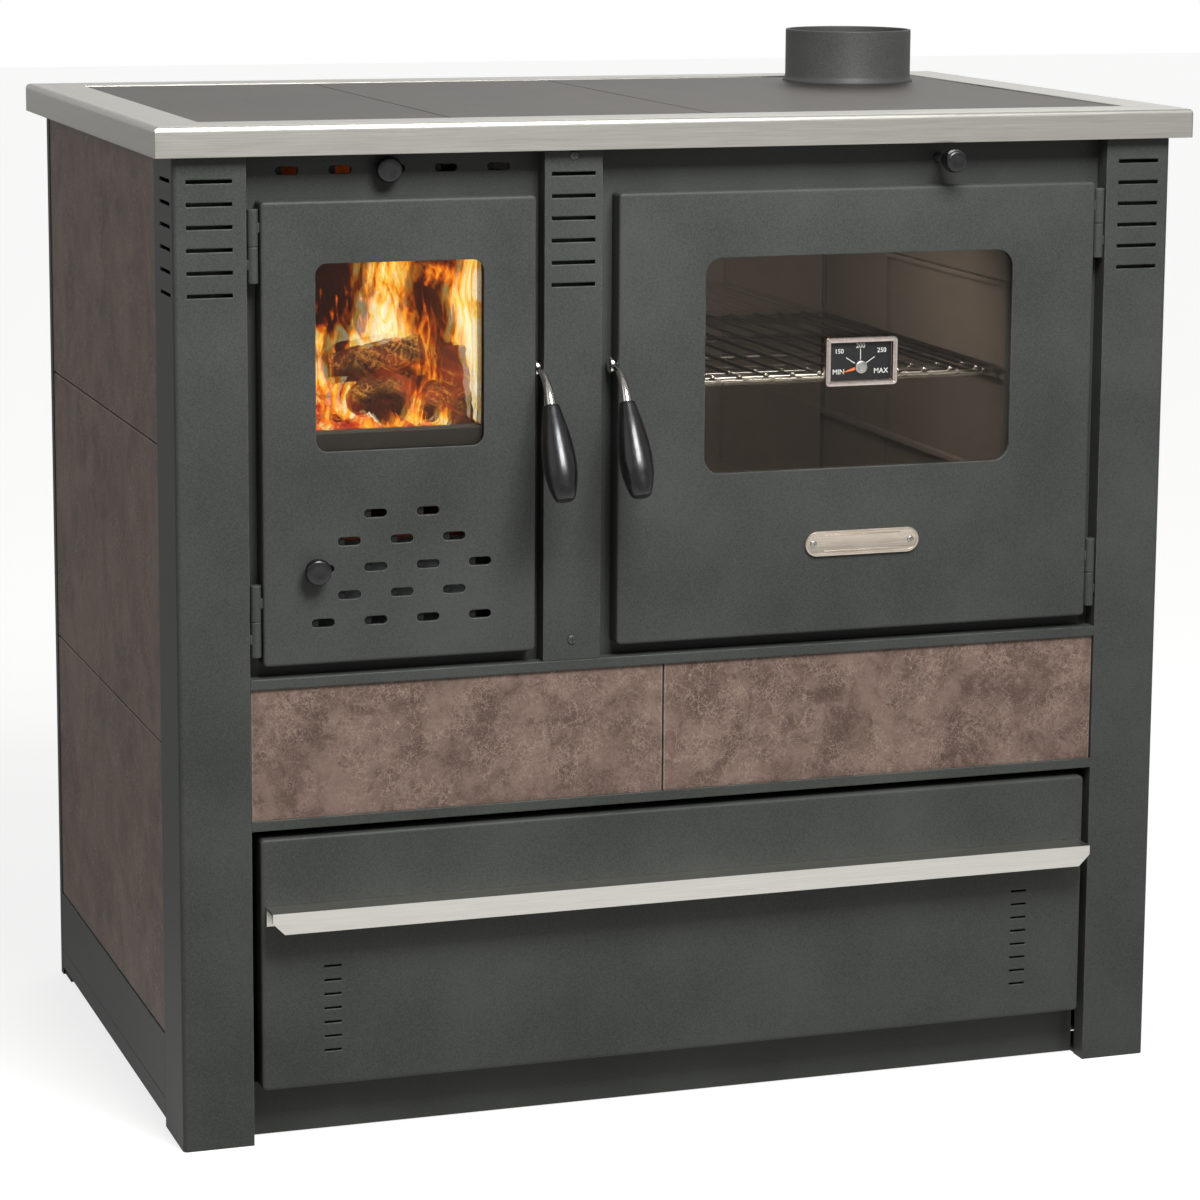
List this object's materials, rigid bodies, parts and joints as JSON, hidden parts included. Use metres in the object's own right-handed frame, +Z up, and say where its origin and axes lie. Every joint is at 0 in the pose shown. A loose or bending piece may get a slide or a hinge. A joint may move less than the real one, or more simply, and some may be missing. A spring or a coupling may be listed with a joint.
{
  "type": "wood cookstove",
  "caption": "Free-standing wood cookstove with a glazed fire door, a glazed oven door, a steel hob, a flue collar, stone tiles and a drawer below.",
  "frame": {"origin": "on the floor, at the middle of the footprint, door handles and worktop overhang included", "axes": "the doors face -Y, +X is to the right for someone who faces the doors, +Z is up"},
  "size_m": [0.912, 0.6342, 0.8983],
  "materials": {
    "charcoal_paint": "satin metallic charcoal, heat-proof",
    "dark_steel": "matt black",
    "brushed_rim": "brushed along its length",
    "hob_steel": "ground, darkened by heat",
    "stone_tile": "brown-grey veined stone, satin",
    "fireclay": "rough fireclay",
    "clear_glass": "clear heat-proof glass",
    "cast_iron": "as cast",
    "galvanised_steel": "dull zinc",
    "oven_enamel": "grey-brown enamel",
    "bright_chrome": "polished",
    "black_gloss": "gloss black",
    "needle_red": "painted",
    "pale_nickel": "satin nickel"
  },
  "bodies": {
    "stove": {"worktop_frame": "brushed_rim", "hob_plate_left": "hob_steel", "hob_plate_middle": "hob_steel", "hob_plate_right": "hob_steel", "flue_collar": "dark_steel", "front_post_left": "charcoal_paint", "front_post_right": "charcoal_paint", "rear_post_left": "charcoal_paint", "rear_post_right": "charcoal_paint", "center_post": "charcoal_paint", "front_frame": "charcoal_paint", "front_tile_frame": "charcoal_paint", "front_tile_left": "stone_tile", "front_tile_right": "stone_tile", "left_tile_upper": "stone_tile", "left_tile_middle": "stone_tile", "left_tile_lower": "stone_tile", "right_tile_upper": "stone_tile", "right_tile_middle": "stone_tile", "right_tile_lower": "stone_tile", "left_side_panel": "charcoal_paint", "right_side_panel": "charcoal_paint", "back_panel": "dark_steel", "base_pan": "charcoal_paint", "drawer_runner_left": "galvanised_steel", "drawer_runner_right": "galvanised_steel", "firebox_casing": "dark_steel", "firebrick_left": "fireclay", "firebrick_right": "fireclay", "firebrick_back": "fireclay", "fire_grate": "cast_iron", "ash_pan": "galvanised_steel", "oven_box": "oven_enamel", "oven_rack": "bright_chrome", "fire_hinge_upper": "charcoal_paint", "fire_hinge_lower": "charcoal_paint", "oven_hinge_upper": "charcoal_paint", "oven_hinge_lower": "charcoal_paint"},
    "fire_door": {"fire_door_shell": "charcoal_paint", "fire_door_glass": "clear_glass", "fire_door_glass_frame": "dark_steel"},
    "primary_air": {"primary_air_slider": "galvanised_steel", "primary_air_knob": "black_gloss"},
    "fire_handle": {"fire_handle_lever": "bright_chrome", "fire_handle_grip": "black_gloss"},
    "oven_door": {"oven_door_shell": "charcoal_paint", "oven_door_glass": "clear_glass", "oven_door_liner": "dark_steel", "thermometer_case": "bright_chrome", "nameplate": "pale_nickel"},
    "thermometer": {"thermometer_needle": "needle_red"},
    "oven_handle": {"oven_handle_lever": "bright_chrome", "oven_handle_grip": "black_gloss"},
    "secondary_air": {"secondary_air_slider": "galvanised_steel", "secondary_air_knob": "black_gloss"},
    "damper": {"damper_rod": "galvanised_steel", "damper_knob": "black_gloss"},
    "drawer": {"drawer_front": "charcoal_paint", "drawer_box": "galvanised_steel", "drawer_handle": "brushed_rim"}
  },
  "joints": [
    {"name": "fire_door_hinge", "type": "hinge", "parent": "stove", "child": "fire_door", "pos_m": [-0.3745, -0.23686, 0.5975], "axis": [0, 0, -1], "range_deg": [0, 105]},
    {"name": "oven_door_hinge", "type": "hinge", "parent": "stove", "child": "oven_door", "pos_m": [0.3745, -0.23686, 0.5975], "axis": [0, 0, 1], "range_deg": [0, 105]},
    {"name": "fire_handle_pivot", "type": "hinge", "parent": "fire_door", "child": "fire_handle", "pos_m": [-0.1334, -0.23186, 0.644], "axis": [-1, 0, 0], "range_deg": [0, 35]},
    {"name": "oven_handle_pivot", "type": "hinge", "parent": "oven_door", "child": "oven_handle", "pos_m": [-0.0676, -0.23186, 0.644], "axis": [-1, 0, 0], "range_deg": [0, 35]},
    {"name": "primary_air_slide", "type": "slide", "parent": "fire_door", "child": "primary_air", "axis": [1, 0, 0], "range_m": [0, 0.013]},
    {"name": "secondary_air_slide", "type": "slide", "parent": "stove", "child": "secondary_air", "axis": [1, 0, 0], "range_m": [0, 0.013]},
    {"name": "damper_pull", "type": "slide", "parent": "stove", "child": "damper", "axis": [0, -1, 0], "range_m": [0, 0.07]},
    {"name": "thermometer_needle_turn", "type": "hinge", "parent": "oven_door", "child": "thermometer", "pos_m": [0.15225, -0.24266, 0.6355], "axis": [0, 1, 0], "range_deg": [0, 205]},
    {"name": "drawer_slide", "type": "slide", "parent": "stove", "child": "drawer", "axis": [0, -1, 0], "range_m": [0, 0.38]}
  ]
}
